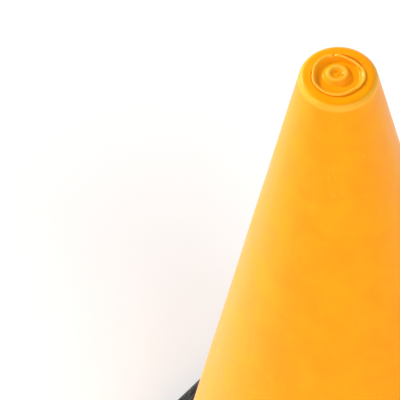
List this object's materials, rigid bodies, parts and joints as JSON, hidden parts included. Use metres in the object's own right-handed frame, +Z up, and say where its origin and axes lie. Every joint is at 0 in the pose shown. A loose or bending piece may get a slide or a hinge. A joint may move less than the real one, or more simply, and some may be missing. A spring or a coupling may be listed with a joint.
{
  "type": "traffic cone",
  "caption": "Plain amber traffic cone with a rounded closed crown, a pull-out crown plug and a separate heavy square rubber base.",
  "frame": {"origin": "on the ground at the centre of the square base", "axes": "+Z up the cone's axis, +X and +Y square to the base's sides"},
  "size_m": [0.295, 0.295, 0.5],
  "materials": {
    "amber_shell": "satin moulded polyethylene with faint flow mottling and scuffs",
    "amber_plug": "satin moulded polyethylene",
    "black_rubber": "matt recycled rubber crumb",
    "galvanised": "galvanised, spangled",
    "rivet_nylon": "moulded nylon"
  },
  "bodies": {
    "root": {"cone_shell": "amber_shell", "rubber_base": "black_rubber", "retaining_ring": "galvanised", "rivet_bodies": "rivet_nylon", "rivet_pins": "rivet_nylon"},
    "plug": {"top_plug": "amber_plug"}
  },
  "joints": [
    {"name": "plug_pull", "type": "slide", "parent": "root", "child": "plug", "axis": [0, 0, 1], "range_m": [0, 0.035]}
  ]
}
